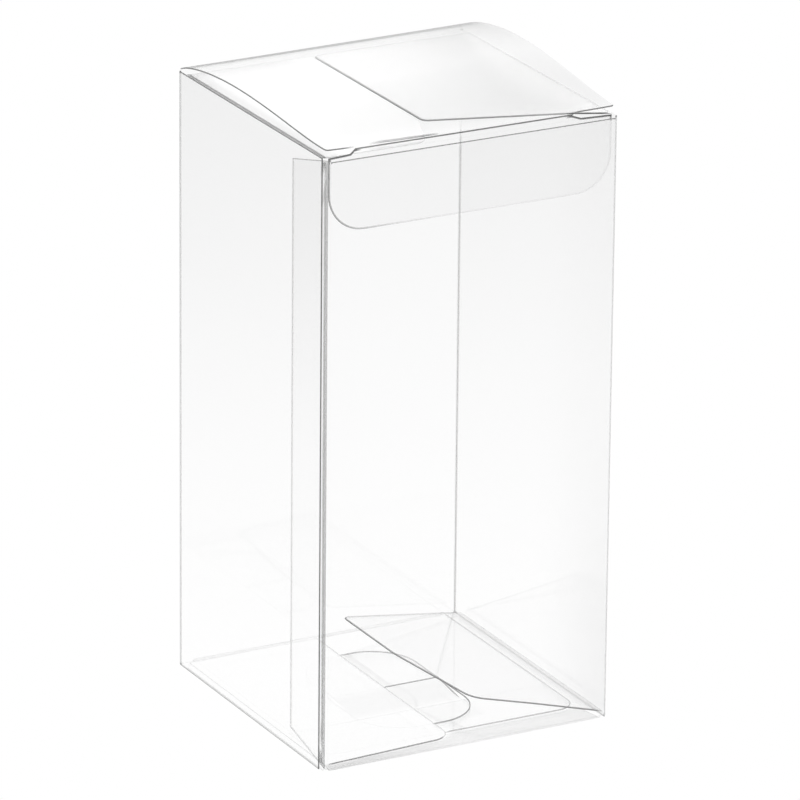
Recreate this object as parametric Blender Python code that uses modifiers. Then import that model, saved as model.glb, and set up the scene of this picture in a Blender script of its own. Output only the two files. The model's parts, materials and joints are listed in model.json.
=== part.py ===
"""Clear plastic box: a carton die-cut from one thin sheet, creased and glued up the front left corner.

The lid is hinged on the back wall and closes with a tuck flap behind the front wall. Two dust flaps
lie under the lid. The bottom is two dust flaps, a back panel with a round-fronted window, and a front
panel whose tongue comes up through that window. The walls stand on z = 0, the front wall faces -Y,
and the origin is the middle of the base.
"""

import math

import bmesh
import bpy
from mathutils import Vector

# Overall sizes, outside the walls
box_width = 0.0768
box_depth = 0.0768
box_height = 0.1524

# Sheet and clearances
sheet = 0.0003
fit_gap = 0.0003
crease_radius = 0.0006
lid_crease_gap = 0.00045
arc_steps = 6

# Glued seam
seam_setback = 0.0025
glue_flap_width = 0.0185
glue_flap_taper = 0.0048

# Lid
lid_side_inset = 0.0005
lid_corner_radius = 0.001
lid_front_rise = 0.0009
lid_crown_left = 0.0035
lid_crown_right = 0.0055
lid_crown_skew = 0.7
lid_ear_reach = 0.0014
lid_ear_rise = 0.0007
lid_rows = 24
lid_corner_rows = 3
lid_columns = 14

# Tuck flap
tuck_length = 0.0198
tuck_side_gap = 0.0004
tuck_corner_radius = 0.0095
tuck_wall_gap = 0.00135
slit_length = 0.0113
ear_setback = 0.0024
ear_drop_at_slit = 0.0013
ear_drop_at_side = 0.0016

# Dust flaps: their reach from the side wall, and their margins to the front and back walls
flap_back_margin = 0.0036
flap_back_radius = 0.002
flap_tip_radius = 0.0045
top_flap_front_margin = 0.0026
top_flap_gap = 0.0004
top_left_shoulder = 0.0155
top_left_shoulder_reach = 0.0062
top_right_reach = 0.0424
top_right_step_reach = 0.0085
top_right_step = 0.0039
top_right_shoulder = 0.0144
top_right_tip_radius = 0.0023
bottom_flap_front_margin = 0.001
bottom_left_reach = 0.0342
bottom_left_lift = 1.7
bottom_right_reach = 0.0336
bottom_right_lift = 8.0

# Front of the bottom right flap: where its slant bends, where its corner is and where its end is straight
slant_bend_reach = 0.0156
slant_bend = 0.0072
slant_corner_reach = 0.0292
slant_corner = 0.0129
slant_corner_radius = 0.006
lean_end = 0.045
lean_radius = 0.04

# Bottom panels and their lock
front_panel_length = 0.025
front_panel_inset = 0.0016
front_panel_cut = 0.002
front_panel_cut_length = 0.011
back_panel_inset = 0.0036
back_panel_front_margin = 0.0075
back_panel_radius = 0.005
lock_offset = -0.0018
window_width = 0.030
window_length = 0.0255
window_back_edge = 0.0392
window_radius = 0.012
tongue_side_gap = 0.0005
tongue_length = 0.0360
tongue_radius = 0.012
tongue_ramp = 0.0135
tongue_rows = 20
tongue_tip_rows = 8
tongue_columns = 4

# Places that follow from the sizes
half_width = box_width / 2
half_depth = box_depth / 2
front_inner = -half_depth + sheet
back_inner = half_depth - sheet
right_inner = half_width - sheet
left_inner = -half_width + sheet + fit_gap + sheet
right_crease = right_inner - fit_gap / 2
left_crease = left_inner + fit_gap / 2
top_left_reach = right_crease - left_crease - top_right_reach - top_flap_gap
tuck_plane = front_inner + tuck_wall_gap + sheet / 2
layer = sheet + fit_gap
front_panel_mid = sheet / 2
back_panel_mid = front_panel_mid + layer
tongue_mid = back_panel_mid + layer
lid_hinge_y = half_depth - sheet / 2
lid_hinge_z = box_height + fit_gap
lid_length = lid_hinge_y - tuck_plane
tuck_hinge_z = lid_hinge_z + lid_front_rise
slit = half_width - slit_length


def clear_scene():
    """Removes every object that the startup file holds."""
    for thing in list(bpy.data.objects):
        bpy.data.objects.remove(thing, do_unlink=True)


def new_collection(name):
    group = bpy.data.collections.new(name)
    bpy.context.scene.collection.children.link(group)
    return group


def clear_plastic(name, colour, roughness):
    """Clear PET: a hardly tinted, glossy sheet that shows what lies behind it."""
    material = bpy.data.materials.new(name)
    material.use_nodes = True
    shader = material.node_tree.nodes["Principled BSDF"]
    shader.inputs["Base Color"].default_value = (*colour, 1.0)
    shader.inputs["Roughness"].default_value = roughness
    shader.inputs["Metallic"].default_value = 0.0
    shader.inputs["IOR"].default_value = 1.57
    shader.inputs["Alpha"].default_value = 0.35
    material.diffuse_color = (*colour, 0.35)
    return material


def hinge_empty(name, location, rotation=(0.0, 0.0, 0.0)):
    """An empty on a crease. What it carries turns about it."""
    empty = bpy.data.objects.new(name, None)
    empty.empty_display_size = 0.01
    empty.location = location
    empty.rotation_euler = rotation
    box_parts.objects.link(empty)
    return empty


def rounded(corners):
    """Points of a closed outline. Each corner is (x, y, radius), and a radius above 0 gives an arc."""
    points = []
    count = len(corners)
    for index, (x, y, radius) in enumerate(corners):
        here = Vector((x, y))
        if radius == 0.0:
            points.append(here)
            continue
        back = (Vector(corners[index - 1][:2]) - here).normalized()
        ahead = (Vector(corners[(index + 1) % count][:2]) - here).normalized()
        half_angle = back.angle(ahead) / 2
        centre = here + (back + ahead).normalized() * (radius / math.sin(half_angle))
        start = here + back * (radius / math.tan(half_angle)) - centre
        end = here + ahead * (radius / math.tan(half_angle)) - centre
        sweep = start.angle_signed(end)
        for step in range(arc_steps + 1):
            turn = -sweep * step / arc_steps
            spoke = Vector((
                start.x * math.cos(turn) - start.y * math.sin(turn),
                start.x * math.sin(turn) + start.y * math.cos(turn),
            ))
            points.append(centre + spoke)
    return points


def outline_solid(name, outlines, thickness, location, rotation=(0.0, 0.0, 0.0), parent=None):
    """A flat piece: closed outlines in its own XY plane, filled and given the thickness about that plane.

    The first outline is the edge, and any other is a hole in it.
    """
    curve = bpy.data.curves.new(name, "CURVE")
    curve.dimensions = "2D"
    curve.fill_mode = "BOTH"
    curve.extrude = thickness / 2
    for points in outlines:
        spline = curve.splines.new("POLY")
        spline.points.add(len(points) - 1)
        for point, (x, y) in zip(spline.points, points):
            point.co = (x, y, 0.0, 1.0)
        spline.use_cyclic_u = True
    piece = bpy.data.objects.new(name, curve)
    piece.location = location
    piece.rotation_euler = rotation
    piece.parent = parent
    box_parts.objects.link(piece)
    return piece


def wall(name, low, high, bottom, top, location, turned):
    """An upright panel from low to high along its own length. Its plane passes through location."""
    corners = [(low, bottom), (high, bottom), (high, top), (low, top)]
    rotation = (math.pi / 2, 0.0, math.pi / 2 if turned else 0.0)
    return outline_solid(name, [corners], sheet, location, rotation)


def upright_crease(name, x, y, quarter, bottom):
    """A quarter ring of sheet that bends one wall into the next. Quarter counts turns of 90 degrees."""
    outer = []
    inner = []
    for step in range(arc_steps + 1):
        angle = math.pi / 2 * (quarter + step / arc_steps)
        ray = Vector((math.cos(angle), math.sin(angle)))
        outer.append(ray * crease_radius)
        inner.append(ray * (crease_radius - sheet))
    height = box_height - bottom
    place = (x, y, bottom + height / 2)
    return outline_solid(name, [outer + inner[::-1]], height, place)


def curved_sheet(name, width, length, tip_radius, rows, tip_rows, columns, place, parent):
    """A sheet with rounded far corners, bent by place(across, along), then given its thickness.

    Across runs from -1 to 1 over the width and along from 0 to the length. The last tip_rows rows
    follow the arc of the two far corners.
    """
    mesh = bpy.data.meshes.new(name)
    grid = bmesh.new()
    bmesh.ops.create_grid(grid, x_segments=columns, y_segments=rows, size=1.0)
    plain_rows = rows - tip_rows
    for vert in grid.verts:
        row = (vert.co.y + 1) / 2 * rows
        if row <= plain_rows:
            along = (length - tip_radius) * row / plain_rows
            inset = 0.0
        else:
            angle = (row - plain_rows) / tip_rows * math.pi / 2
            along = length - tip_radius * (1 - math.sin(angle))
            inset = tip_radius * (1 - math.cos(angle))
        vert.co = place(vert.co.x * (width / 2 - inset), along)
    grid.to_mesh(mesh)
    grid.free()
    mesh.shade_smooth()
    piece = bpy.data.objects.new(name, mesh)
    piece.parent = parent
    box_parts.objects.link(piece)
    skin = piece.modifiers.new("sheet", "SOLIDIFY")
    skin.thickness = sheet
    skin.offset = 0.0
    skin.use_even_offset = True
    return piece


def make_sleeve():
    """Four walls, the four creases between them, and the flap glued inside the left wall.

    The left wall stops short of the corner, so its cut edge shows beside the front left crease.
    """
    crease_reach = crease_radius + fit_gap
    seam_x = left_inner - sheet
    front_bottom = sheet + fit_gap
    front_wall = wall(
        "front_wall",
        seam_x + crease_reach,
        half_width - crease_reach,
        front_bottom,
        box_height,
        (0.0, -half_depth + sheet / 2, 0.0),
        turned=False,
    )
    back_wall = wall(
        "back_wall",
        -half_width + crease_reach,
        half_width - crease_reach,
        0.0,
        box_height,
        (0.0, half_depth - sheet / 2, 0.0),
        turned=False,
    )
    right_wall = wall(
        "right_wall",
        -half_depth + crease_reach,
        half_depth - crease_reach,
        0.0,
        box_height,
        (half_width - sheet / 2, 0.0, 0.0),
        turned=True,
    )
    left_wall = wall(
        "left_wall",
        -half_depth + seam_setback,
        half_depth - crease_reach,
        0.0,
        box_height,
        (-half_width + sheet / 2, 0.0, 0.0),
        turned=True,
    )
    near = -half_depth + crease_reach
    far = -half_depth + glue_flap_width
    glue_outline = [
        (near, front_bottom),
        (far, glue_flap_taper),
        (far, box_height - glue_flap_taper),
        (near, box_height - fit_gap),
    ]
    upright = (math.pi / 2, 0.0, math.pi / 2)
    glue_flap = outline_solid(
        "glue_flap", [glue_outline], sheet, (left_inner - sheet / 2, 0.0, 0.0), upright
    )
    front_y = -half_depth + crease_radius
    back_y = half_depth - crease_radius
    right_x = half_width - crease_radius
    creases = [
        upright_crease("crease_front_left", seam_x + crease_radius, front_y, 2, front_bottom),
        upright_crease("crease_front_right", right_x, front_y, 3, front_bottom),
        upright_crease("crease_back_right", right_x, back_y, 0, 0.0),
        upright_crease("crease_back_left", -half_width + crease_radius, back_y, 1, 0.0),
    ]
    return [front_wall, back_wall, right_wall, left_wall, glue_flap, *creases]


def lid_place(across, along):
    """A point of the lid's middle surface, from its hinge: the sheet bows up, more on the right.

    Outside the slits the front corners are ears, which reach a little further and curl up.
    """
    share = along / lid_length
    side = (across + half_width) / box_width
    crown = lid_crown_left + (lid_crown_right - lid_crown_left) * side
    ear = max((abs(across) - slit) / slit_length, 0.0) ** 2 * share**8
    rise = lid_front_rise * share + crown * math.sin(math.pi * share**lid_crown_skew)
    return Vector((across, -along - lid_ear_reach * ear, rise + lid_ear_rise * ear))


def make_lid():
    """The bowed lid and the tuck flap that hangs from its front crease."""
    lid_hinge = hinge_empty("lid_hinge", (0.0, lid_hinge_y, lid_hinge_z))

    def place(across, along):
        return lid_place(across, fit_gap + along)

    lid = curved_sheet(
        "lid",
        box_width - 2 * lid_side_inset,
        lid_length - fit_gap - lid_crease_gap,
        lid_corner_radius,
        lid_rows,
        lid_corner_rows,
        lid_columns,
        place,
        lid_hinge,
    )
    tuck_hinge = hinge_empty("tuck_hinge", (0.0, tuck_plane, tuck_hinge_z), (math.pi / 2, 0.0, 0.0))
    left = left_inner + tuck_side_gap
    right = right_inner - tuck_side_gap
    ear_start = slit + ear_setback
    tuck_outline = rounded([
        (left, -ear_drop_at_side, 0.0),
        (left, -tuck_length, tuck_corner_radius),
        (right, -tuck_length, tuck_corner_radius),
        (right, -ear_drop_at_side, 0.0),
        (ear_start, -ear_drop_at_slit, 0.0),
        (slit, -lid_crease_gap, 0.0),
        (-slit, -lid_crease_gap, 0.0),
        (-ear_start, -ear_drop_at_slit, 0.0),
    ])
    tuck = outline_solid("tuck_flap", [tuck_outline], sheet, (0.0, 0.0, 0.0), parent=tuck_hinge)
    return [lid, tuck]


def dust_flap(name, side, outline, hinge_z, above, lift):
    """A flap on a side wall. Side is 1 on the right and -1 on the left, and lift tilts its free end up.

    Its plate lies above its crease where it folds down, and below where it folds up, so that it
    comes to lie clear of the wall when it is folded.
    """
    crease = right_crease if side > 0 else left_crease
    hinge = hinge_empty(
        name + "_hinge", (crease, 0.0, hinge_z), (0.0, side * math.radians(lift), 0.0)
    )
    offset = (fit_gap + sheet) / 2 * (1 if above else -1)
    mirrored = [(-side * x, y) for x, y in outline]
    return outline_solid(name, [mirrored], sheet, (0.0, 0.0, offset), parent=hinge)


def straight_flap(reach, front):
    """Outline of a flap with a square front edge. Reach is counted from the crease."""
    back = half_depth - flap_back_margin
    return rounded([
        (fit_gap / 2, front, 0.0),
        (reach, front, flap_tip_radius),
        (reach, back, flap_back_radius),
        (fit_gap / 2, back, 0.0),
    ])


def cut_corner_flap(reach, front):
    """Outline of a flap whose front corner slants back."""
    back = half_depth - flap_back_margin
    return rounded([
        (fit_gap / 2, front, 0.0),
        (reach - top_left_shoulder_reach, front, flap_tip_radius),
        (reach, front + top_left_shoulder, flap_tip_radius),
        (reach, back, flap_back_radius),
        (fit_gap / 2, back, 0.0),
    ])


def shouldered_flap(reach, front):
    """Outline of a flap whose front edge steps back near the wall and then slants to its free end."""
    back = half_depth - flap_back_margin
    return rounded([
        (fit_gap / 2, front, 0.0),
        (top_right_step_reach, front + top_right_step, 0.0),
        (reach, front + top_right_shoulder, top_right_tip_radius),
        (reach, back, flap_back_radius),
        (fit_gap / 2, back, 0.0),
    ])


def slanted_flap(reach, front):
    """Outline of a flap whose front edge slants back in two runs, and whose free end leans in there."""
    back = half_depth - flap_back_margin
    return rounded([
        (fit_gap / 2, front, 0.0),
        (slant_bend_reach, front + slant_bend, 0.0),
        (slant_corner_reach, front + slant_corner, slant_corner_radius),
        (reach, front + lean_end, lean_radius),
        (reach, back, flap_back_radius),
        (fit_gap / 2, back, 0.0),
    ])


def make_dust_flaps():
    """Two flaps under the lid, which fold down, and two on the bottom, which fold up."""
    top_front = -half_depth + top_flap_front_margin
    bottom_front = -half_depth + bottom_flap_front_margin
    top_z = box_height - sheet - fit_gap / 2
    bottom_z = tongue_mid + sheet / 2 + fit_gap / 2
    return [
        dust_flap(
            "top_left_dust_flap", -1, cut_corner_flap(top_left_reach, top_front), top_z, True, 0.0
        ),
        dust_flap(
            "top_right_dust_flap", 1, shouldered_flap(top_right_reach, top_front), top_z, True, 0.0
        ),
        dust_flap(
            "bottom_left_dust_flap",
            -1,
            straight_flap(bottom_left_reach, bottom_front),
            bottom_z,
            False,
            bottom_left_lift,
        ),
        dust_flap(
            "bottom_right_dust_flap",
            1,
            slanted_flap(bottom_right_reach, bottom_front),
            bottom_z,
            False,
            bottom_right_lift,
        ),
    ]


def make_bottom():
    """The front panel and its tongue, and the back panel with the window that the tongue fills."""
    front_edge = -half_depth
    side = half_width - front_panel_inset
    front_hinge = hinge_empty("bottom_front_hinge", (0.0, front_edge + sheet / 2, front_panel_mid))
    cut_side = side - front_panel_cut
    panel_outline = [
        (-side, -sheet / 2),
        (side, -sheet / 2),
        (cut_side, front_panel_cut_length - sheet / 2),
        (cut_side, front_panel_length - sheet / 2),
        (-cut_side, front_panel_length - sheet / 2),
        (-cut_side, front_panel_cut_length - sheet / 2),
    ]
    front_panel = outline_solid(
        "bottom_front_panel", [panel_outline], sheet, (0.0, 0.0, 0.0), parent=front_hinge
    )
    tongue_start = front_panel_length - sheet / 2 + fit_gap
    rise = tongue_mid - front_panel_mid

    def place(across, along):
        share = min(along / tongue_ramp, 1.0)
        eased = (1 - math.cos(math.pi * share)) / 2
        return Vector((lock_offset + across, tongue_start + along, rise * eased))

    tongue = curved_sheet(
        "bottom_tongue",
        window_width - 2 * tongue_side_gap,
        tongue_length,
        tongue_radius,
        tongue_rows,
        tongue_tip_rows,
        tongue_columns,
        place,
        front_hinge,
    )
    side = half_width - back_panel_inset
    back = back_inner - fit_gap
    front = front_edge + back_panel_front_margin
    back_outline = rounded([
        (-side, front, back_panel_radius),
        (side, front, back_panel_radius),
        (side, back, 0.0),
        (-side, back, 0.0),
    ])
    window_back = front_edge + window_back_edge
    window_front = window_back - window_length
    left = lock_offset - window_width / 2
    right = lock_offset + window_width / 2
    window = rounded([
        (left, window_front, window_radius),
        (right, window_front, window_radius),
        (right, window_back, 0.0),
        (left, window_back, 0.0),
    ])
    back_panel = outline_solid(
        "bottom_back_panel", [back_outline, window], sheet, (0.0, 0.0, back_panel_mid)
    )
    return [front_panel, tongue, back_panel]


def finish(pieces, colour, roughness):
    """Gives each piece a clear plastic of its own."""
    for piece in pieces:
        piece.data.materials.append(clear_plastic(piece.name, colour, roughness))


clear_scene()
box_parts = new_collection("clear_plastic_box")
finish(make_sleeve(), (0.90, 0.91, 0.92), 0.06)
finish(make_lid(), (0.92, 0.93, 0.94), 0.05)
finish(make_dust_flaps(), (0.94, 0.95, 0.95), 0.05)
finish(make_bottom(), (0.88, 0.89, 0.90), 0.07)
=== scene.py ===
# %% [markdown]
# # A clear plastic box
# This box is one sheet of clear film, cut flat with a die, creased, folded round and glued along its
# front left corner. The lessons below build every panel the way the die cuts it: as a flat shape
# that is then bent into place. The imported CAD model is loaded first, because it says where each
# panel goes and which of them move.

# %% Load the frame
import json

import bpy
import numpy as np
from mathutils import Matrix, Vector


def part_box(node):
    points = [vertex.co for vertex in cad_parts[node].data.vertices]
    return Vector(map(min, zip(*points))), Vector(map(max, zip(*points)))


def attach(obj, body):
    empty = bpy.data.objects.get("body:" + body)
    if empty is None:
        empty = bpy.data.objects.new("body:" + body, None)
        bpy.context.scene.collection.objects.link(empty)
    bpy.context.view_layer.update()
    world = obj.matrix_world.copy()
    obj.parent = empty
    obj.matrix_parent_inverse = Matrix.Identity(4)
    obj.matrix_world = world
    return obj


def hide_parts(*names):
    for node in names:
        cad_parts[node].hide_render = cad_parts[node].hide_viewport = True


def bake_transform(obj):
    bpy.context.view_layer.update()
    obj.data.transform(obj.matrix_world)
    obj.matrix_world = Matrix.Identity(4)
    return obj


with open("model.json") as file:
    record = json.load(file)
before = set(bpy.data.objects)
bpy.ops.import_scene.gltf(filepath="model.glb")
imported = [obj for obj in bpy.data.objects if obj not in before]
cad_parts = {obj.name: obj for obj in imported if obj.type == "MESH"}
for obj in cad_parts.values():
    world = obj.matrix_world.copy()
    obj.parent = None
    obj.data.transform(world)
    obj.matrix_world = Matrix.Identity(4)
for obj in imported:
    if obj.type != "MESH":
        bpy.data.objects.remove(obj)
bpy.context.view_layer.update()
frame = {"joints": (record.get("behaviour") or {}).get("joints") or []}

# %% [markdown]
# ## Measures of the film
# The film is 0.3 mm thick. A die leaves a slightly rounded rim, so the cross-section of every cut
# edge is half an ellipse, and the light that is caught in it shows as a dark line. The rim distances
# are how far in from the cut the mesh has its first rows, so that this line is as wide as the real
# one, and the cut band is how near to a side a point counts as its cut.

# %% Film and rim
mm = 0.001
film = 0.3 * mm
rim_round = 0.12 * mm
rim_rows = np.array([0.0, 0.03, 0.08, 0.16, 0.3, 0.55]) * mm
cut_band = 0.4 * mm
half_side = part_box("right_wall")[1].x
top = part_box("left_wall")[1].z
print("film", film, "m, walls", round(top, 4), "m high and", round(2 * half_side, 4), "m wide")

# %% [markdown]
# ## A flat outline
# The die's line round a panel is straight runs with rounded corners. Each corner is given as x, y
# and radius. The curve comes out as an array of points, and moving it inwards by a fixed distance
# gives the rows that run along the rim.


# %% Outlines
def unit(vectors):
    """Each vector divided by its length."""
    return vectors / np.linalg.norm(vectors, axis=-1, keepdims=True)


def corner_arc(before, corner, after, radius, steps=12):
    """An arc that touches both sides of a corner.

    Its centre is on the bisector, at radius / sin(half the corner's angle), and it turns evenly
    from one touching point to the other, which lie radius / tan(half angle) from the corner.
    """
    if radius == 0.0:
        return corner[None]
    back = unit(before - corner)
    ahead = unit(after - corner)
    half = np.arccos(back @ ahead) / 2
    centre = corner + unit(back + ahead) * radius / np.sin(half)
    start = corner + back * radius / np.tan(half) - centre
    end = corner + ahead * radius / np.tan(half) - centre
    sweep = np.arctan2(start[0] * end[1] - start[1] * end[0], start @ end)
    turn = sweep * np.linspace(0, 1, steps + 1)[:, None]
    across = np.array([-start[1], start[0]])
    return centre + start * np.cos(turn) + across * np.sin(turn)


def outline(corners, spacing=2 * mm):
    """The closed curve through corners (x, y, radius), counter-clockwise, with no step over spacing."""
    spots = np.array([corner[:2] for corner in corners])
    before = np.roll(spots, 1, axis=0)
    after = np.roll(spots, -1, axis=0)
    arcs = [corner_arc(b, c, a, r[2]) for b, c, a, r in zip(before, spots, after, corners)]
    curve = np.concatenate(arcs)
    ahead = np.roll(curve, -1, axis=0)
    if (curve[:, 0] * ahead[:, 1] - curve[:, 1] * ahead[:, 0]).sum() < 0:
        curve = curve[::-1]
        ahead = np.roll(curve, -1, axis=0)
    step = ahead - curve
    count = np.ceil(np.linalg.norm(step, axis=1) / spacing).astype(int)
    first = np.repeat(np.cumsum(count) - count, count)
    share = (np.arange(count.sum()) - first) / np.repeat(count, count)
    return np.repeat(curve, count, axis=0) + np.repeat(step, count, axis=0) * share[:, None]


def inset(curve, distance):
    """The curve moved inwards: each point goes along the sum of its two sides' normals, divided by
    one plus their dot product, which keeps every side parallel to itself."""
    side = unit(np.roll(curve, -1, axis=0) - curve)
    normal = np.stack([-side[:, 1], side[:, 0]], axis=1)
    before = np.roll(normal, 1, axis=0)
    share = 1 + (normal * before).sum(axis=1, keepdims=True)
    return curve + distance * (normal + before) / share


square = outline([(0, 0, 0), (10 * mm, 0, 2 * mm), (10 * mm, 10 * mm, 0), (0, 10 * mm, 0)])
print("a 10 mm square with one round corner has", len(square), "points")

# %% [markdown]
# ## Two ways to lay a mesh on a flat panel
# A panel with a winding outline is covered with rings: the outline, its rim rows, and then copies
# that shrink to a point in the middle. A panel that is bent a lot, such as the bowed lid, gets a grid
# instead, whose rows run across the bend. Both return the flat points and their distance from the cut.


# %% Layouts
def ring_layout(curve, count=10):
    """Rings from the outline to the middle of its box: the rim rows, then even shares of the way in."""
    rim = np.stack([inset(curve, distance) for distance in rim_rows])
    heart = (curve.min(axis=0) + curve.max(axis=0)) / 2
    share = np.linspace(0, 1, count + 1)[1:, None, None]
    flat = np.concatenate([rim, rim[-1] + share * (heart - rim[-1])])
    depth = np.concatenate([rim_rows, rim_rows[-1] + np.arange(1, count + 1) * mm])
    return flat, np.repeat(depth[:, None], len(curve), axis=1)


def spokes(curve, centre, angles):
    """Where rays from the centre at these angles cross the closed curve: every ray is tried with
    every side, and the crossing that lies on the side is kept."""
    ray = np.stack([np.cos(angles), np.sin(angles)], axis=1)[:, None]
    start = (curve - centre)[None]
    side = np.roll(start, -1, axis=1) - start
    cross = ray[..., 0] * side[..., 1] - ray[..., 1] * side[..., 0]
    safe = np.where(np.abs(cross) < 1e-15, 1e-15, cross)
    reach = (start[..., 0] * side[..., 1] - start[..., 1] * side[..., 0]) / safe
    share = (start[..., 0] * ray[..., 1] - start[..., 1] * ray[..., 0]) / safe
    good = (reach > 0) & (share > -1e-9) & (share < 1 + 1e-9)
    distance = np.where(good, reach, np.inf).min(axis=1)
    return centre + ray[:, 0] * distance[:, None]


def window_layout(curve, hole, count=8):
    """Rings from an outline in to the edge of a hole, matched along rays from the hole's middle."""
    centre = (hole.min(axis=0) + hole.max(axis=0)) / 2
    every = np.concatenate([curve, hole]) - centre
    angles = np.unique(np.round(np.arctan2(every[:, 1], every[:, 0]), 5))
    outer = spokes(curve, centre, angles)
    inner = spokes(hole, centre, angles)
    outer_rim = np.stack([inset(outer, distance) for distance in rim_rows])
    inner_rim = np.stack([inset(inner, -distance) for distance in rim_rows[::-1]])
    share = np.linspace(0, 1, count + 2)[1:-1, None, None]
    between = outer_rim[-1] + share * (inner_rim[0] - outer_rim[-1])
    flat = np.concatenate([outer_rim, between, inner_rim])
    depth = np.concatenate([rim_rows, np.full(count, mm), rim_rows[::-1]])
    return flat, np.repeat(depth[:, None], len(angles), axis=1)


def with_rims(low, high, step):
    """Even steps from low to high, with the rim rows at both ends."""
    inner = np.linspace(low + rim_rows[-1], high - rim_rows[-1], int((high - low) / step) + 2)
    return np.concatenate([low + rim_rows[:-1], inner, high - rim_rows[-2::-1]])


def grid_layout(xs, ys):
    """Every x with every y, and the distance to the nearest side of the rectangle."""
    flat = np.stack(np.meshgrid(xs, ys), axis=-1)
    away = [flat[..., 0] - xs[0], xs[-1] - flat[..., 0], flat[..., 1] - ys[0], ys[-1] - flat[..., 1]]
    return flat, np.min(away, axis=0).clip(0)


print("rows across a 20 mm panel:", len(with_rims(0, 0.02, 0.004)))

# %% [markdown]
# ## From a flat panel to a piece of film
# place is a function that says where each flat point goes. Its two slopes give the normal, and the
# film's two faces lie half a thickness above and below, meeting in the rounded rim. Three attributes go
# with the mesh for the material to read: the cut, the marks of the press together with painted shade,
# and a white veil that is painted glare.


# %% Bending and skinning
def bent(flat, place, nudge=1e-6):
    """The placed points and their normals: the cross product of the slopes along x and along y."""
    x = np.array([nudge, 0.0])
    y = np.array([0.0, nudge])
    slope_x = place(flat + x) - place(flat - x)
    slope_y = place(flat + y) - place(flat - y)
    return place(flat), unit(np.cross(slope_x, slope_y))


def quads(ids):
    """Four corners for each cell of a grid of point numbers."""
    cells = [ids[:-1, :-1], ids[:-1, 1:], ids[1:, 1:], ids[1:, :-1]]
    return np.stack(cells, axis=-1).reshape(-1, 4)


def film_mesh(name, layout, place, ringed=False, pole=False, edge=1.0, press=0.0, veil=0.0, reach=0.3 * mm):
    """A closed sheet: the flat layout bent by place, with its thickness rounded off at the cut.

    The half thickness follows an ellipse over the last rim_round before the cut. A cell with three
    points on the cut is split from its inner point, so that the two faces don't share a triangle.
    The edge, the press marks with the painted shade, and the painted glare veil may be numbers or
    functions of the flat points, and the edge fades out over its reach.
    """
    flat, depth = layout
    middle, normal = bent(flat, place)
    away = 1 - np.minimum(depth / rim_round, 1)
    rise = (film / 2 * np.sqrt(1 - away**2))[..., None] * normal
    upper = np.arange(depth.size).reshape(depth.shape)
    lower = upper + depth.size
    lower[depth == 0] = upper[depth == 0]
    if pole:
        upper[-1] = upper[-1, 0]
        lower[-1] = lower[-1, 0]
    if ringed:
        upper = np.concatenate([upper, upper[:, :1]], axis=1)
        lower = np.concatenate([lower, lower[:, :1]], axis=1)
    faces = np.concatenate([quads(upper), quads(lower)[:, ::-1]])
    used, numbers = np.unique(faces, return_inverse=True)
    faces = numbers.reshape(-1, 4)
    narrow = (faces == np.roll(faces, -1, axis=1)).any(axis=1)
    rim = np.tile(depth.ravel() == 0, 2)[used][faces]
    corner = (rim.sum(axis=1) == 3) & ~narrow
    from_inner = (np.argmin(rim[corner], axis=1)[:, None] + np.arange(4)) % 4
    turned = np.take_along_axis(faces[corner], from_inner, axis=1)
    plain = faces[~narrow & ~corner].tolist() + turned[:, :3].tolist() + turned[:, [0, 2, 3]].tolist()
    tips = [list(dict.fromkeys(face)) for face in faces[narrow].tolist()]
    points = np.concatenate([(middle + rise).reshape(-1, 3), (middle - rise).reshape(-1, 3)])[used]
    mesh = bpy.data.meshes.new(name)
    mesh.from_pydata(points, [], plain + tips)
    cut = np.clip((reach - depth) / (0.4 * reach), 0, 1)
    whole = np.ones_like(depth)
    for label, strength, field in (("edge", edge, cut), ("press", press, whole), ("veil", veil, whole)):
        values = field * (strength(flat) if callable(strength) else strength)
        both = np.concatenate([values.ravel(), values.ravel()])[used]
        mesh.attributes.new(label, "FLOAT", "POINT").data.foreach_set("value", both.astype(np.float32))
    mesh.shade_smooth()
    mesh.validate()
    return mesh


def add_piece(mesh, finish, nodes=(), body=None, hinge=None):
    """Puts a mesh in the scene as a piece of the box, on its body, or, when a hinge is given, on no body
    with its place baked into the mesh.
    """
    thing = bpy.data.objects.new(mesh.name, mesh)
    bpy.context.scene.collection.objects.link(thing)
    mesh.materials.append(finish)
    if hinge:
        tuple(hinge[2])
        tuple(hinge[3])
        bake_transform(thing)
    else:
        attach(thing, body)
    if nodes:
        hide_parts(*nodes)
    print(f"{mesh.name}: {len(mesh.polygons)} faces")
    return thing


print("ready to skin a sheet", film, "m thick")

# %% [markdown]
# ## Clear film as a material
# A sheet of clear plastic shows what is behind it, less what it mirrors. The share that it mirrors
# is small when you look straight at it and grows to all of it at a glancing angle, which Schlick's
# rule gives as f + (1 - f) times (1 - cos)^5. So the film is a mirror whose Alpha is that share. The
# cut rim and the pressed creases scatter light and look grey, so there the mirror gives way to a
# duller, denser plastic. The same grey also paints shade on some panels, and a white veil paints
# glare where the film mirrors bright light.


# %% Shader maths
def grey(level):
    """An opaque grey."""
    return (level, level, level, 1.0)


class Value:
    """A shader value. Python's operators on it add the Math nodes that work them out."""

    def __init__(self, finish, socket):
        self.finish = finish
        self.socket = socket

    def math(self, operation, first, second):
        return self.finish.node("ShaderNodeMath", {0: first, 1: second}, operation=operation)

    def __add__(self, other):
        return self.math("ADD", self, other)

    def __rsub__(self, other):
        return self.math("SUBTRACT", other, self)

    def __mul__(self, other):
        return self.math("MULTIPLY", self, other)

    def __pow__(self, other):
        return self.math("POWER", self, other)

    __radd__ = __add__
    __rmul__ = __mul__

    def least(self, other):
        return self.math("MINIMUM", self, other)

    def most(self, other):
        return self.math("MAXIMUM", self, other)


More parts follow.
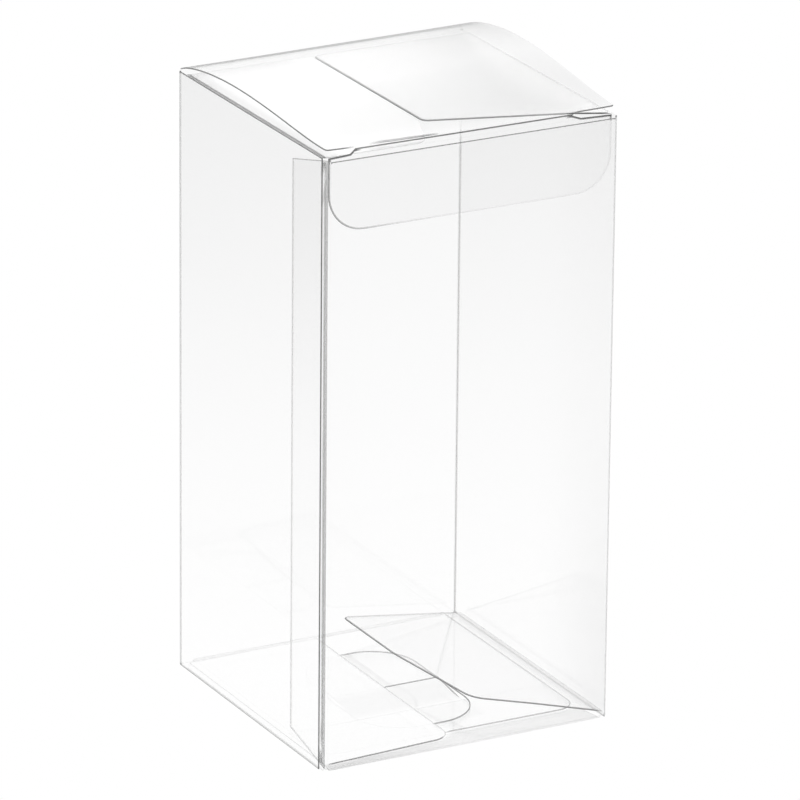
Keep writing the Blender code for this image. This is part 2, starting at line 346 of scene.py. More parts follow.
class Finish:
    """A material, or the world, and the one way in which its nodes are added."""

    def __init__(self, owner):
        self.owner = owner
        owner.use_nodes = True
        self.tree = owner.node_tree
        self.tree.nodes.clear()

    def node(self, kind, inputs=None, output=0, ramp=None, **settings):
        """Adds a node: its settings and its ramp's stops first, then the values or links of its sockets."""
        made = self.tree.nodes.new(kind)
        for key, setting in settings.items():
            setattr(made, key, setting)
        if ramp:
            stops = made.color_ramp.elements
            stops[0].position, stops[1].position = ramp[0][0], ramp[-1][0]
            stops[0].color, stops[1].color = grey(ramp[0][1]), grey(ramp[-1][1])
            for place, level in ramp[1:-1]:
                stops.new(place).color = grey(level)
        for key, value in (inputs or {}).items():
            if isinstance(value, Value):
                self.tree.links.new(value.socket, made.inputs[key])
            else:
                made.inputs[key].default_value = value
        return Value(self, made.outputs[output]) if made.outputs else None


print("shader maths ready")

# %% [markdown]
# ## One finish for every panel
# All panels are cut from the same sheet, so one recipe serves them all, and the attributes of each
# mesh say where it is cut or creased, where shade is painted on it, and where a painted glare makes
# it look milky. Real film is never quite flat: a faint wave in its normals makes the mirror images
# waver, and a thin cloud of handling marks takes away their polish.


# %% The film's finish
film_ior = 1.57
head_on = ((film_ior - 1) / (film_ior + 1)) ** 2
cloud_scale, wave_scale = 60.0, 22.0
full_tint = 4.0


def film_finish(name, haze=0.004, ripple=0.12, edge_shade=0.1, edge_cover=0.9, press_shade=0.25,
                press_cover=0.6, gloss=0.06):
    """Clear film: a mirror that covers only what Schlick's rule says, grey at its rim and creases.

    The rim's share is the edge attribute times edge_cover, the share of the press marks and of the
    painted shade is their strength times press_cover, and the haze is a thin cloud of handling marks,
    added to the painted glare veil. What each layer lets through is multiplied. The grey is reached
    where rim and crease together cover a quarter.
    """
    finish = Finish(bpy.data.materials.new(name))
    spot = finish.node("ShaderNodeTexCoord", output=3)
    facing = finish.node("ShaderNodeLayerWeight", {"Blend": 0.5}, output=1)
    mirrored = head_on + (1 - head_on) * facing**5.0
    edge = finish.node("ShaderNodeAttribute", output=2, attribute_name="edge")
    press = finish.node("ShaderNodeAttribute", output=2, attribute_name="press")
    # Painted glare: a veil of white, dull plastic that stands in for bright light the film mirrors
    veil = finish.node("ShaderNodeAttribute", output=2, attribute_name="veil")
    cloud = finish.node("ShaderNodeTexNoise", {"Vector": spot, "Scale": cloud_scale, "Detail": 3.0})
    haze_and_glare = haze * cloud + veil
    rim = edge * edge_cover
    # Share of the press marks together with the painted shade
    crease = press * press_cover
    solid = 1 - (1 - rim) * (1 - crease)
    alpha = 1 - (1 - mirrored) * (1 - haze_and_glare) * (1 - solid)
    tint = (solid * full_tint).least(1.0)
    dull = tint.most(veil)
    colour = finish.node(
        "ShaderNodeMix", {0: edge, 6: grey(press_shade), 7: grey(edge_shade)}, output=2,
        data_type="RGBA",
    )
    base = finish.node("ShaderNodeMix", {0: tint, 6: grey(1.0), 7: colour}, output=2, data_type="RGBA")
    wave = finish.node("ShaderNodeTexNoise", {"Vector": spot, "Scale": wave_scale, "Detail": 1.0})
    bump = finish.node("ShaderNodeBump", {"Strength": ripple, "Distance": 0.001, "Height": wave})
    shader = finish.node(
        "ShaderNodeBsdfPrincipled",
        {"Base Color": base, "Metallic": 1 - dull, "Roughness": gloss + 0.25 * dull, "Alpha": alpha,
         "Normal": bump, "IOR": film_ior},
    )
    finish.node("ShaderNodeOutputMaterial", {"Surface": shader})
    return finish.owner


wall_film = film_finish("wall_film")
crease_film = film_finish("crease_film")
lid_film = film_finish("lid_film")
flap_film = film_finish("flap_film")
bottom_film = film_finish("bottom_film")
print("a sheet mirrors", round(head_on, 4), "of what meets it head on, at each of its two faces")

# %% [markdown]
# ## The sleeve: four walls, four creases and the glue flap
# The walls are one strip that goes round the box. Each wall is a grid on its own upright plane, which
# needs few faces because it is flat. Only its top and bottom are cut, and on the left wall the front
# side too, where the strip ends at the glued seam.

# %% Walls
bend_radius = 0.45 * mm
crease_side = 0.6 * mm
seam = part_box("crease_front_left")[0].x
front_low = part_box("front_wall")[0].z


def upright(origin, along):
    """A placing on an upright plane: x goes along the given direction, and y goes up."""
    origin = np.array(origin)
    along = np.array(along)
    rise = np.array([0.0, 0.0, 1.0])
    return lambda flat: origin + flat[..., :1] * along + flat[..., 1:] * rise


def level_cut(above, below, low=0.0, high=top):
    """Edge strengths along the top and the bottom. The upright sides have none, because there a
    wall runs on into its crease."""
    return lambda flat: above * (flat[..., 1] > high - cut_band) + below * (flat[..., 1] < low + cut_band)


def wall_piece(name, sides, levels, origin, along, edge, press=0.0):
    """One wall between its sides along its own direction, and between its two levels."""
    layout = grid_layout(with_rims(*sides, 8 * mm), with_rims(*levels, 12 * mm))
    mesh = film_mesh(name, layout, upright(origin, along), edge=edge, press=press)
    return add_piece(mesh, wall_film, [name], body="shell")


def seam_cut(flat):
    """The left wall's cut: dark down its front side and along its top, lighter along its bottom."""
    front = flat[..., 0] > seam_end - cut_band
    return np.where(front, 1.0, level_cut(0.9, 0.5)(flat))


def right_wall_painted_shade(flat):
    """Painted shade: a grey cast on the right wall towards its front, stronger low down."""
    forward = np.clip((-flat[..., 0] - 5 * mm) / (30 * mm), 0, 1)
    return 0.13 * forward * np.clip(1.2 - flat[..., 1] / (100 * mm), 0.4, 1)


plane = half_side - film / 2
front_high = top - 0.5 * mm
inner = half_side - crease_side
seam_end = -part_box("left_wall")[0].y
wall_piece("front_wall", (seam + crease_side, inner), (front_low, front_high),
           (0, -plane, 0), (1, 0, 0), level_cut(0.7, 0.1, front_low, front_high))
wall_piece("right_wall", (-inner, inner), (0.0, top), (plane, 0, 0), (0, 1, 0), level_cut(0.0, 0.45),
           right_wall_painted_shade)
wall_piece("back_wall", (-inner, inner), (0.0, top), (0, plane, 0), (-1, 0, 0), level_cut(0.0, 0.1))
wall_piece("left_wall", (-inner, seam_end), (0.0, top), (-plane, 0, 0), (0, -1, 0), seam_cut)

# %% [markdown]
# ## Upright creases
# A crease is a line that the press has squeezed, so the sheet bends there without breaking. Each one is
# a quarter of a cylinder, as high as the walls. The real film is thinner along its two pressed lines,
# which here keep the full thickness and show only as marks. The marks of the press are given at the
# crease's start, halfway and at its end.


# %% Upright creases
def crease_place(centre, quarter):
    """A quarter of a cylinder: x is the length of the arc, which starts a number of quarters round."""
    def place(flat):
        angle = (quarter * np.pi / 2) + flat[..., 0] / bend_radius
        x = centre[0] + bend_radius * np.cos(angle)
        y = centre[1] + bend_radius * np.sin(angle)
        return np.stack([x, y, flat[..., 1]], axis=-1)
    return place


arc_length = bend_radius * np.pi / 2


def pressed(length, first, middle, last):
    """Press marks over a crease: first at its start, last at its end, and middle halfway, joined by
    the square of the cosine of pi times the share of the way over."""
    def press(flat):
        share = np.clip(flat[..., 0] / length, 0, 1)
        side = np.where(share < 0.5, first, last)
        return middle + (side - middle) * np.cos(np.pi * share) ** 2
    return press


def upright_crease(name, centre, quarter, low, marks, marks_end=top):
    """An upright crease. Its press marks stop at the height marks_end."""
    layout = grid_layout(np.linspace(0, arc_length, 11), with_rims(low, top, 8 * mm))
    whole = pressed(arc_length, *marks)
    mesh = film_mesh(name, layout, crease_place(centre, quarter), edge=level_cut(0.5, 0.2, low),
                     press=lambda flat: whole(flat) * (flat[..., 1] <= marks_end))
    return add_piece(mesh, crease_film, [name], body="shell")


upright_crease("crease_front_left", (seam + crease_side, -inner), 2, front_low, (0.0, 0.0, 0.0))
upright_crease("crease_front_right", (inner, -inner), 3, front_low, (0.0, 0.05, 0.5))
upright_crease("crease_back_right", (inner, inner), 0, 0.0, (0.05, 0.6, 0.05), top - 24 * mm)
upright_crease("crease_back_left", (-inner, inner), 1, 0.0, (0.2, 0.6, 0.3))

# %% [markdown]
# ## The glue flap
# The glue flap is bent back from the front wall and glued inside the left wall. Its ends are cut at a
# slant so that it slips in. Rings follow such an outline best, and a line of glue shows along the seam.

# %% Glue flap
glue_low, glue_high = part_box("glue_flap")
glue_taper, glue_line = 4.8 * mm, 1.5 * mm
glue_curve = outline([
    (-glue_low.y, glue_low.z, 0),
    (-glue_low.y, glue_high.z, 0),
    (-glue_high.y, top - glue_taper, 0),
    (-glue_high.y, glue_taper, 0),
])
glue_place = upright(((glue_low.x + glue_high.x) / 2, 0, 0), (0, -1, 0))


def glue_press(flat):
    """A grey line of glue beside the crease, darkest 1.5 mm in, where it ends."""
    inwards = -glue_low.y - flat[..., 0]
    return inwards / glue_line * (inwards < 1.1 * glue_line)


glue_mesh = film_mesh("glue_flap", ring_layout(glue_curve, 20), glue_place, ringed=True, pole=True,
                      edge=0.4, press=glue_press)
add_piece(glue_mesh, wall_film, ["glue_flap"], body="shell")

# %% [markdown]
# ## The lid
# The lid is held at both ends and is a little too long for the gap, so it bows up, and more at the
# right than at the left. Its rise is a straight slope plus a crown times a sine, whose peak is moved
# towards the hinge by a power of the share of the way along. Its grid's rows run across the bow.

# %% Lid
lid_joint, tuck_joint = (next(j for j in frame["joints"] if j["name"] == name)
                         for name in ("lid_hinge", "tuck_hinge"))
hinge_y, hinge_z = lid_joint["pos_m"][1:]
tuck_y, tuck_z = tuck_joint["pos_m"][1:]
lid_length = hinge_y - tuck_y
crown_left, crown_right, crown_power = 3.5 * mm, 5.5 * mm, 0.7
lid_half = half_side - 0.3 * mm
lid_corner = 1 * mm
slit = half_side - 11.3 * mm
left_slit = half_side - 8.0 * mm
ear_reach, ear_rise, front_rise = 1.4 * mm, 0.7 * mm, 0.35 * mm
crown_end = half_side - 0.7 * mm


def past_slit(x):
    """How far x lies beyond the slit on its side, as a share of the way from there to the wall."""
    start = np.where(x < 0, left_slit, slit)
    return (np.abs(x) - start) / (half_side - start)


def lid_place(flat):
    """The bowed lid: slope times the share of the way from the hinge, plus crown times the sine of
    pi times that share to the power 0.7, where the crown grows evenly from left to right, up to
    crown_end.

    Outside the slits the front corners are ears that reach a little further and curl up, by the
    square of the share of the way from the slit to the side. The front crease lifts the whole
    front a little.
    """
    share = ((hinge_y - flat[..., 1]) / lid_length).clip(0)
    across = np.minimum(flat[..., 0], crown_end)
    crown = crown_left + (crown_right - crown_left) * (across + half_side) / (2 * half_side)
    ear = np.clip(past_slit(flat[..., 0]), 0, 1) ** 2 * share**8
    rise = (tuck_z - hinge_z) * share + crown * np.sin(np.pi * share**crown_power)
    rise = rise + ear_rise * ear + front_rise * share**20
    return np.stack([flat[..., 0], flat[..., 1] - ear_reach * ear, hinge_z + rise], axis=-1)


def tapered_grid(half_width, low, high, radius, step, rows, columns=10 * mm):
    """A grid from low to high in y whose corners at the low end are rounded: the half width shrinks
    there by radius times (1 - cos), where sin is the share of the radius that is left."""
    ys = with_rims(low, high, step)
    turn = np.arcsin(np.clip((low + radius - ys) / radius, 0, 1))
    arc = low + radius - radius * np.sin(np.linspace(np.pi / 2, 0, rows + 1))
    ys = np.unique(np.round(np.concatenate([ys[turn == 0], arc, low + rim_rows]), 7))
    turn = np.arcsin(np.clip((low + radius - ys) / radius, 0, 1))
    shrink = (half_width - radius * (1 - np.cos(turn))) / half_width
    xs = with_rims(-half_width, half_width, columns)
    flat, depth = grid_layout(xs, ys)
    flat = np.stack([flat[..., 0] * shrink[:, None], flat[..., 1]], axis=-1)
    return flat, depth


def lid_edge(flat):
    """The cut shows dark on the left and on the front ears, hardly on the right, and the back and the
    front between the slits have no cut."""
    side = np.clip((flat[..., 0] + half_side) / (2 * half_side), 0, 1)
    cut = 1 - side**2
    front = np.where(past_slit(flat[..., 0]) < 0, 0.0, 1.0)
    cut = np.where(flat[..., 1] < lid_front + cut_band, front, cut)
    return np.where(flat[..., 1] > hinge_y - mm, 0.0, cut)


lid_low, lid_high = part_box("lid")
lid_front = tuck_y + 0.45 * mm
score_start, score_length = -24.5 * mm, 16.5 * mm


def lid_score_and_painted_shade(flat):
    """A second scored line behind the front crease on the left, which runs into it near the middle,
    and painted shade: a grey cast that grows to the right and to the back, and another along the
    hinge on the left."""
    share = (flat[..., 0] - score_start) / score_length
    behind = (flat[..., 1] - lid_front - (0.7 - 0.6 * share) * mm) / (0.25 * mm)
    score = 1.8 * np.exp(-(behind**2)) * (share > 0) * (share < 1)
    side = np.clip((flat[..., 0] + 5 * mm) / (40 * mm), 0, 1)
    rear = np.clip((flat[..., 1] + 10 * mm) / (40 * mm), 0, 1)
    left = np.clip(-flat[..., 0] / (12 * mm) - 0.3, 0, 1)
    hinge = left * np.exp((flat[..., 1] - hinge_y) / (3 * mm))
    return np.maximum(score, side * (0.05 + 0.2 * rear * side)) + 0.7 * hinge


lid_layout = tapered_grid(lid_half, lid_front, lid_high.y, lid_corner, 2 * mm, 8, columns=4 * mm)
lid_mesh = film_mesh("lid", lid_layout, lid_place, edge=lid_edge, press=lid_score_and_painted_shade)
add_piece(lid_mesh, lid_film, ["lid"], body="lid")

# %% [markdown]
# ## The tuck flap
# The tuck flap goes down behind the front wall and keeps the lid shut. Its lower corners are well
# rounded, so that it finds its way in, and its upper ones are cut lower than the crease, where the
# lid's slits catch on the dust flaps. It is flat, so rings on an upright plane are enough.

# %% Tuck flap
tuck_low, tuck_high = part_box("tuck_flap")
tuck_top = tuck_high.z + front_rise
ear_inner, ear_outer = tuck_z - 1.0 * mm, tuck_z - 1.3 * mm
ear_start = slit + 2.4 * mm
tuck_radius = 9.5 * mm
tuck_curve = outline([
    (tuck_low.x, ear_outer, 0),
    (tuck_low.x, tuck_low.z, tuck_radius),
    (tuck_high.x, tuck_low.z, tuck_radius),
    (tuck_high.x, ear_outer, 0),
    (ear_start, ear_inner, 0),
    (slit, tuck_top, 0),
    (-left_slit, tuck_top, 0),
    (-left_slit - 1.1 * mm, ear_inner, 0),
])


def tuck_edge(flat):
    """Dark at the ears and down the left curve, faint along the bottom and the right."""
    side = np.clip((flat[..., 0] + half_side) / (2 * half_side), 0, 1)
    cut = 0.1 + 0.6 * (1 - side) ** 6
    high = flat[..., 1] > ear_outer - cut_band
    return np.where(high, np.where(past_slit(flat[..., 0]) < -0.04, 0.0, 1.0), cut)


tuck_mesh = film_mesh("tuck_flap", ring_layout(tuck_curve), upright((0, tuck_y, 0), (1, 0, 0)),
                      ringed=True, pole=True, edge=tuck_edge, reach=0.45 * mm)
add_piece(tuck_mesh, lid_film, ["tuck_flap"], body="tuck")

# %% [markdown]
# ## Dust flaps
# The dust flaps close the corners, two under the lid and two on the bottom panels, and keep dust out
# where the sheet has no seam. Each is a ring layout of its own outline, counted from its crease, and
# turned about its hinge by the angle at which it rests. The top ones carry painted glare: a milky
# white veil stands in for the bright light that they mirror.

# %% Dust flaps
top_front, bottom_front = -half_side + 2.6 * mm, -half_side + 1.0 * mm
flap_back = half_side - 3.6 * mm
beside_hinge = 0.3 * mm
left_lift, right_lift = 1.7, 8.0


def flap_place(side, hinge, offset, lift):
    """A flap that reaches inwards from its hinge at x, z: its middle surface passes the hinge at the
    offset, and the whole is tilted by lift degrees."""
    angle = np.radians(lift)
    def place(flat):
        reach = -side * flat[..., 0]
        x = -side * (reach * np.cos(angle) - offset * np.sin(angle))
        z = reach * np.sin(angle) + offset * np.cos(angle)
        return np.stack([hinge[0] + x, flat[..., 1], hinge[1] + z], axis=-1)
    return place


def hinge_of(name):
    """The x and z of a joint's axis."""
    joint = next(j for j in frame["joints"] if j["name"] == name)
    return joint["pos_m"][0], joint["pos_m"][2]


def dust_flap(name, side, corners, offset, lift, edge, veil=0.0, press=0.0, cut_reach=0.3 * mm):
    """A dust flap whose corners are given as reach from the crease, y and radius."""
    hinge = hinge_of(name.replace("_dust_flap", "_hinge"))
    curve = outline([(-side * reach, y, radius) for reach, y, radius in corners])
    mesh = film_mesh(name, ring_layout(curve, 14), flap_place(side, hinge, offset, lift),
                     ringed=True, pole=True, edge=edge, veil=veil, press=press, reach=cut_reach)
    return add_piece(mesh, flap_film, [name], body=name.replace("_dust_flap", "_flap"))


root = 0.15 * mm
tip, heel = 4.5 * mm, 2.0 * mm
top_right_reach = 42.4 * mm
top_left_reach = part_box("top_left_dust_flap")[1].x - hinge_of("top_left_hinge")[0]
bottom_left_reach, bottom_right_reach = 34.2 * mm, 33.6 * mm


def flap_cut(side, front, end, back):
    """Edge strengths along the front, at the free end and along the back, and none at the crease."""
    def edge(flat):
        reach = -side * flat[..., 0]
        cut = np.where(reach > reach.max() - 2 * mm, end, front)
        cut = np.where(flat[..., 1] > flap_back - mm, back, cut)
        return np.where(reach < root + 0.6 * mm, 0.0, cut)
    return edge


def top_left_flap_painted_shade(flat):
    """Painted shade: a grey cast beside the crease of the top left flap, up to 4 mm from it, but not at its
    back.
    """
    near = np.clip((4 * mm - flat[..., 0]) / (2 * mm), 0, 1)
    return 0.08 * near * np.clip((flap_back - flat[..., 1]) / (8 * mm), 0, 1)


# The veils of the top flaps are painted glare.
dust_flap("top_left_dust_flap", -1,
          [(root, top_front, 0), (top_left_reach - 6.2 * mm, top_front, tip),
           (top_left_reach, top_front + 15.5 * mm, tip), (top_left_reach, flap_back, heel),
           (root, flap_back, 0)],
          beside_hinge, 0.0, flap_cut(-1, 0.0, 0.0, 0.0), veil=0.8,
          press=top_left_flap_painted_shade)
dust_flap("top_right_dust_flap", 1,
          [(root, top_front, 0), (8.5 * mm, top_front + 3.9 * mm, 0),
           (top_right_reach, top_front + 14.4 * mm, 2.3 * mm), (top_right_reach, flap_back, heel),
           (root, flap_back, 0)],
          beside_hinge, 0.0, flap_cut(1, 1.0, 1.0, 0.1), veil=0.6, cut_reach=0.5 * mm)
dust_flap("bottom_left_dust_flap", -1,
          [(root, bottom_front, 0), (bottom_left_reach, bottom_front, tip),
           (bottom_left_reach, flap_back, heel), (root, flap_back, 0)],
          -beside_hinge, left_lift, flap_cut(-1, 0.9, 0.2, 0.1))
# The bottom right flap carries painted shade, stronger within 4 mm of its crease.
dust_flap("bottom_right_dust_flap", 1,
          [(root, bottom_front, 0), (15.6 * mm, bottom_front + 7.2 * mm, 0),
           (29.2 * mm, bottom_front + 12.9 * mm, 6 * mm),
           (bottom_right_reach, bottom_front + 45 * mm, 40 * mm), (bottom_right_reach, flap_back, heel),
           (root, flap_back, 0)],
          -beside_hinge, right_lift, flap_cut(1, 1.0, 1.0, 0.3), cut_reach=0.4 * mm,
          press=lambda flat: np.where(-flat[..., 0] < 4 * mm, 0.15, 0.05))

# %% [markdown]
# ## The bottom and its lock
# The back panel has a window with a round front. The front panel carries a tongue that climbs
# through the window and comes to lie on the back panel, and that is what keeps the bottom shut.

# %% Bottom panels
lock = -1.8 * mm
covered = -half_side + bottom_left_reach + 2.8 * mm
front_low_corner, front_high_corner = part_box("bottom_front_panel")
back_low_corner, back_high_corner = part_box("bottom_back_panel")
front_mid = (front_low_corner.z + front_high_corner.z) / 2
back_mid = (back_low_corner.z + back_high_corner.z) / 2


def less_under_flap(strength, flat):
    """The strength, hardly any of it where the left flap covers the panel."""
    return strength * np.where(flat[..., 0] < covered, 0.04, 1.0)


def level(height):
    """A placing at one height."""
    return lambda flat: np.concatenate([flat, np.full(flat.shape[:-1] + (1,), height)], axis=-1)


front_start = front_low_corner.y + 0.5 * mm
front_cut, front_cut_length = 2 * mm, 11 * mm
window_half, window_length, window_radius = 15 * mm, 25.5 * mm, 12 * mm
window_back = -half_side + 39.2 * mm
window_front = window_back - window_length


def front_place(flat):
    """The front panel lies level. Over its first 11 mm its sides are cut in by 2 mm."""
    share = np.clip((flat[..., 1] - front_low_corner.y) / front_cut_length, 0, 1)
    x = flat[..., 0] * (1 - front_cut / front_high_corner.x * share)
    return np.stack([x, flat[..., 1], np.full_like(x, front_mid)], axis=-1)


def front_panel_painted_shade(flat):
    """Painted shade: a grey cast in front of the back panel, stronger to the left, where it ends under
    the rising edge of the left flap. Where the back panel's window is, there is a little of it too."""
    x, y = flat[..., 0], flat[..., 1]
    cast = 0.14 + 0.15 * np.clip(-x / (30 * mm), 0, 1)
    under = bottom_front + 2.2 * mm + 0.07 * (x + half_side)
    end = np.where(x < covered, under, back_low_corner.y + 0.5 * mm)
    in_window = (np.abs(x - lock) < window_half) & (x > covered) & (y > window_front + mm)
    return np.where(y < end, cast, 0.05 * in_window)


front_layout = grid_layout(with_rims(front_low_corner.x, front_high_corner.x, 3 * mm),
                           with_rims(front_start, front_high_corner.y, mm))
front_mesh = film_mesh("bottom_front_panel", front_layout, front_place, press=front_panel_painted_shade,
                       edge=lambda flat: np.where(flat[..., 1] < front_start + mm, 0.0, 0.06))
add_piece(front_mesh, bottom_film, ["bottom_front_panel"], body="bottom_front")

window = outline([
    (lock - window_half, window_front, window_radius),
    (lock + window_half, window_front, window_radius),
    (lock + window_half, window_back, 0),
    (lock - window_half, window_back, 0),
])
back_curve = outline([
    (back_low_corner.x, back_low_corner.y, 5 * mm),
    (back_high_corner.x, back_low_corner.y, 5 * mm),
    (back_high_corner.x, back_high_corner.y, 0),
    (back_low_corner.x, back_high_corner.y, 0),
])


def back_edge(flat):
    """The window and the front edge show, the sides less, and the back is a crease."""
    cut = np.where(flat[..., 1] < back_low_corner.y + 0.6 * mm, 0.55, 0.5)
    inside = (np.abs(flat[..., 0] - lock) < window_half + mm) & (flat[..., 1] > window_front - mm)
    cut = less_under_flap(np.where(inside, 0.9, cut), flat)
    return np.where(flat[..., 1] > back_high_corner.y - mm, 0.0, cut)


back_mesh = film_mesh("bottom_back_panel", window_layout(back_curve, window), level(back_mid),
                      ringed=True, edge=back_edge)
add_piece(back_mesh, bottom_film, ["bottom_back_panel"], body="shell")

# %% [markdown]
# ## The tongue
# The tongue is the front panel's own end, pushed up through the window until it springs flat on the
# back panel. Half a cosine wave climbs without a kink, so it looks like one bent sheet.

# %% Tongue
tongue_low, tongue_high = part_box("bottom_tongue")
tongue_mid = tongue_high.z - film / 2
tongue_ramp = 13.5 * mm


def tongue_place(flat):
    """The climb from the front panel: half a cosine wave over the ramp, then level."""
    share = np.clip((flat[..., 1] - tongue_low.y) / tongue_ramp, 0, 1)
    height = front_mid + (tongue_mid - front_mid) * (1 - np.cos(np.pi * share)) / 2
    return np.stack([lock + flat[..., 0], flat[..., 1], height], axis=-1)


tongue_half = (tongue_high.x - tongue_low.x) / 2
tongue_radius, tongue_step = 12 * mm, 1.5 * mm
tongue_flat, tongue_depth = tapered_grid(tongue_half, -tongue_high.y, -tongue_low.y, tongue_radius,
                                         tongue_step, 10)


def tongue_edge(flat):
    """The cut shows, but not at the root, where the tongue runs on from the front panel."""
    beyond = np.clip((flat[..., 1] - tongue_low.y - mm) / (3 * mm), 0, 1)
    return less_under_flap(0.7 * beyond, flat + [lock, 0])


tongue_mesh = film_mesh("bottom_tongue", (-tongue_flat, tongue_depth), tongue_place, edge=tongue_edge)
add_piece(tongue_mesh, bottom_film, ["bottom_tongue"], body="bottom_front")

# %% [markdown]
# ## Creases between moving parts
# Between a wall and what folds from it, the same sheet runs on through a crease.

# %% Creases between moving parts
def strip_place(axis, start, start_way, end, end_way):
    """A strip along axis x or y. Its section is a cubic curve in the other two directions: the ends
    weigh by the cubes of 1 - t and t, and the two handles, which lie 0.4 of the gap's width out, by
    three times the mixed products."""
    start, end = np.array(start), np.array(end)
    reach = np.linalg.norm(end - start) * 0.4
    handles = (start + unit(np.array(start_way, float)) * reach,
               end - unit(np.array(end_way, float)) * reach)
    def place(flat):
        t = flat[..., :1]
        curve = ((1 - t) ** 3 * start + 3 * (1 - t) ** 2 * t * handles[0]
                 + 3 * (1 - t) * t**2 * handles[1] + t**3 * end)
        along = flat[..., 1:]
        parts = [along, curve] if axis == "x" else [curve[..., :1], along, curve[..., 1:]]
        return np.concatenate(parts, axis=-1)
    return place


def moving_crease(name, axis, low, high, start, start_way, end, end_way, hinge, marks, veil=0.0):
    """A creased strip from one panel to the next. hinge names the two bodies it bends between, and
    marks is the press marks' function, or their strengths at the start, in the middle and at the end."""
    across = np.linspace(0, 1, 9)
    middle = np.linspace(low + mm, high - mm, 20)
    along = np.concatenate([[low, low + 0.2 * mm], middle, [high - 0.2 * mm, high]])
    flat = np.stack(np.meshgrid(across, along), axis=-1)
    rows = np.minimum(along - low, high - along)[:, None]
    depth = np.minimum(rows, np.minimum(across, 1 - across)[None] * mm).clip(0)
    mesh = film_mesh(name, (flat, depth), strip_place(axis, start, start_way, end, end_way), edge=0.0,
                     press=marks if callable(marks) else pressed(1, *marks), veil=veil)
    def row_frame(point):
        return (0, *point) if axis == "x" else (point[0], 0, point[1])
    if hinge[0] == hinge[1]:
        return add_piece(mesh, crease_film, body=hinge[0])
    return add_piece(mesh, crease_film, hinge=(*hinge, row_frame(start), row_frame(end)))


lid_start = lid_place(np.array([0.0, lid_high.y]))
moving_crease("lid_crease", "x", -inner, inner, (plane, top), (0, 1), (lid_start[1], lid_start[2]),
              (-1, 0.7), ("shell", "lid"), (0.0, 0.0, 0.0))
lid_end = lid_place(np.array([0.0, lid_low.y]))


def tuck_marks(flat):
    """One dark line all along, wider on the left."""
    wide, narrow = pressed(1, 1.4, 1.4, 1.6), pressed(1, 0.3, 1.2, 1.6)
    return np.where(flat[..., 1] < -8 * mm, wide(flat), narrow(flat))


moving_crease("tuck_crease", "x", -left_slit, slit, (lid_end[1], lid_end[2]), (-1, -0.12),
              (tuck_y, tuck_top), (0, -1), ("lid", "tuck"), tuck_marks)
# The last value of each row is the strength of a painted glare veil on the crease.
for name, side, above, lift, marks, veil in (("top_left", -1, 1, 0.0, (0.0, 0.2, 1.6), 0.0),
                                             ("top_right", 1, 1, 0.0, (0.0, 0.0, 0.0), 0.6),
                                             ("bottom_left", -1, -1, left_lift, (0.1, 0.0, 0.1), 0.0),
                                             ("bottom_right", 1, -1, right_lift, (0.08,) * 3, 0.0)):
    hinge = hinge_of(name + "_hinge")
    place = flap_place(side, hinge, above * beside_hinge, lift)
    root_spot = place(np.array([-side * root, 0.0]))
    wall_spot = (side * plane, top - root) if above > 0 else (side * (plane - film), root)
    wall_way = (0, 1) if above > 0 else (-side, 0.3)
    flap_front = top_front if above > 0 else bottom_front
    moving_crease(name + "_crease", "y", flap_front, flap_back, wall_spot, wall_way,
                  (root_spot[0], root_spot[2]), (-side, 0.2), ("shell", name + "_flap"),
                  marks, veil)
moving_crease("bottom_front_crease", "x", front_low_corner.x, front_high_corner.x, (-plane, front_low),
              (0, -1), (front_start, front_mid), (1, 0), ("shell", "bottom_front"),
              (0.12, 0.12, 0.12))
moving_crease("bottom_back_crease", "x", back_low_corner.x, back_high_corner.x, (plane - film, root),
              (-1, 0.5), (back_high_corner.y, back_mid), (-1, 0), ("shell", "shell"),
              (0.15, 0.15, 0.15))

# %% [markdown]
# ## A white studio
# The camera sees a plain white floor and a plain white world. What a clear film mirrors is the studio
# itself, and that isn't white all over: the floor is a white card that gets greyer away from the box.
# Such greys are all that makes clear film visible. The Light Path node tells the two apart.

# %% Floor
floor_half = 3.0


def show_white(finish, seen, rest):
    """The background for the camera and for what shines through, and another for everything else."""
    path = finish.node("ShaderNodeLightPath")
    through = finish.node("ShaderNodeLightPath", output="Is Transmission Ray")
    white = path.most(through)
    return finish.node("ShaderNodeMixShader", {0: white, 1: rest, 2: seen})


floor_mesh = bpy.data.meshes.new("floor")
corners = np.array([(-1, -1, 0), (1, -1, 0), (1, 1, 0), (-1, 1, 0)]) * floor_half - (0, 0, 0.1 * mm)
floor_mesh.from_pydata(corners.tolist(), [], [(0, 1, 2, 3)])
floor = bpy.data.objects.new("floor", floor_mesh)
bpy.context.scene.collection.objects.link(floor)
card = Finish(bpy.data.materials.new("white_card"))
spot = card.node("ShaderNodeTexCoord", output=3)
away = card.node("ShaderNodeVectorMath", {0: spot}, output=1, operation="LENGTH")
card_ramp = [(0.06, 1.0), (0.2, 0.9), (0.35, 0.7), (0.6, 0.45)]
shade = card.node("ShaderNodeValToRGB", {0: away}, ramp=card_ramp)
glossy = card.node("ShaderNodeLightPath", output="Is Glossy Ray")
mirrored_card = card.node("ShaderNodeEmission", {"Color": shade, "Strength": 1.0})
plain_card = card.node("ShaderNodeBsdfDiffuse", {"Color": grey(0.9)})
unseen = card.node("ShaderNodeMixShader", {0: glossy, 1: plain_card, 2: mirrored_card})
bright = card.node("ShaderNodeEmission", {"Color": grey(1.0), "Strength": 1.0})
card.node("ShaderNodeOutputMaterial", {"Surface": show_white(card, bright, unseen)})
floor_mesh.materials.append(card.owner)
print("floor", 2 * floor_half, "m across")

# %% [markdown]
# ## The room
# The room is the world's own light, so no lamp is needed. Its shade goes with the height of the
# direction you look in: white low down, a grey band further up, and a bright ceiling.

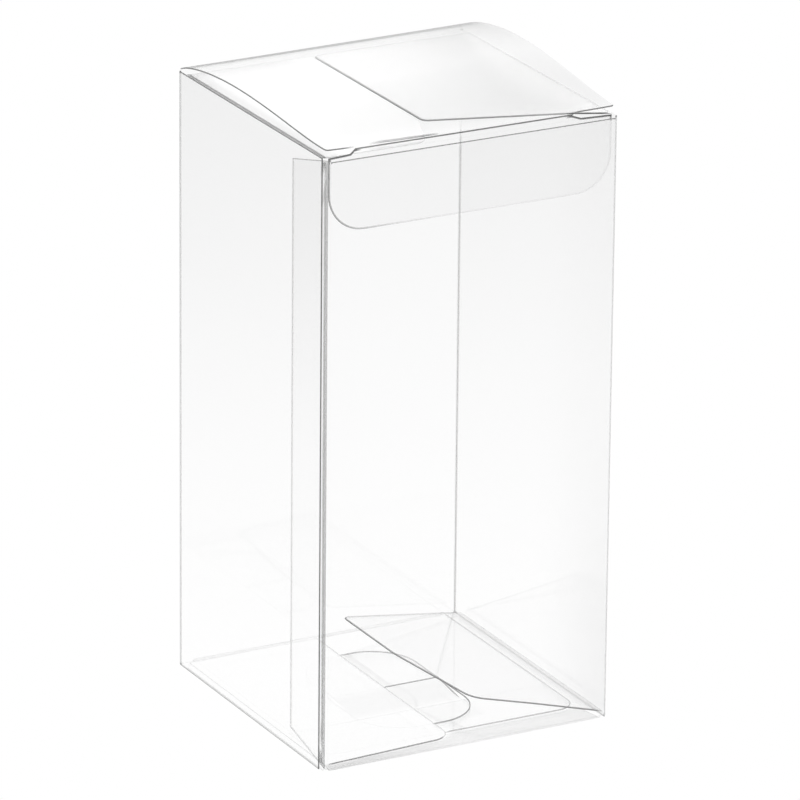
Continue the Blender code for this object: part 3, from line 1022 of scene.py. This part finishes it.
# %% Room
room = Finish(bpy.data.worlds.new("room"))
bpy.context.scene.world = room.owner
way = room.node("ShaderNodeTexCoord", output=0)
height = room.node("ShaderNodeSeparateXYZ", {0: way}, output=2)
room_ramp = [(0.0, 1.0), (0.41, 1.0), (0.53, 0.55), (0.65, 0.55), (0.8, 1.6), (0.95, 2.4)]
wall_shade = room.node("ShaderNodeValToRGB", {0: height}, ramp=room_ramp)
room_light = room.node("ShaderNodeBackground", {"Color": wall_shade, "Strength": 1.0})
backdrop = room.node("ShaderNodeBackground", {"Color": grey(1.0), "Strength": 1.0})
room.node("ShaderNodeOutputWorld", {"Surface": show_white(room, backdrop, room_light)})
print("the ceiling is", room_ramp[-1][1], "times as bright as the backdrop")

# %% [markdown]
# ## The camera
# The camera stands to the left of the front and looks down at twenty degrees, from nearly two metres
# through a long lens, so the upright edges stay almost parallel.

# %% Camera
turn, tilt, roll = np.radians([-28.096, 20.054, 0.546])
lens_pixels, picture_pixels, sensor = 7600.0, 800.0, 36.0
distance = 11.951 * top
shift = np.array([-0.0100, 0.0063]) * top
back = np.array([np.sin(turn) * np.cos(tilt), -np.cos(turn) * np.cos(tilt), np.sin(tilt)])
level_right = np.array([np.cos(turn), np.sin(turn), 0.0])
level_up = np.cross(back, level_right)
right = np.cos(roll) * level_right + np.sin(roll) * level_up
up = np.cos(roll) * level_up - np.sin(roll) * level_right
stand = np.array([0, 0, top / 2]) - shift[0] * right - shift[1] * up + distance * back
camera = bpy.data.objects.new("camera", bpy.data.cameras.new("camera"))
camera.data.sensor_width = sensor
camera.data.lens = lens_pixels / picture_pixels * sensor
pose = np.eye(4)
pose[:3, :3] = np.stack([right, up, back], axis=1)
pose[:3, 3] = stand
camera.matrix_world = Matrix(pose.tolist())
bpy.context.scene.collection.objects.link(camera)
bpy.context.scene.camera = camera
print("camera at", np.round(stand, 3), "lens", round(camera.data.lens, 1), "mm")

# %% [markdown]
# ## Look settings
# A ray that crosses the box goes through many faces of clear film, so it needs more see-through steps
# than Blender gives it by default.

# %% Finish
bpy.context.scene.view_settings.view_transform = "Standard"
bpy.context.scene.cycles.transparent_max_bounces = 64
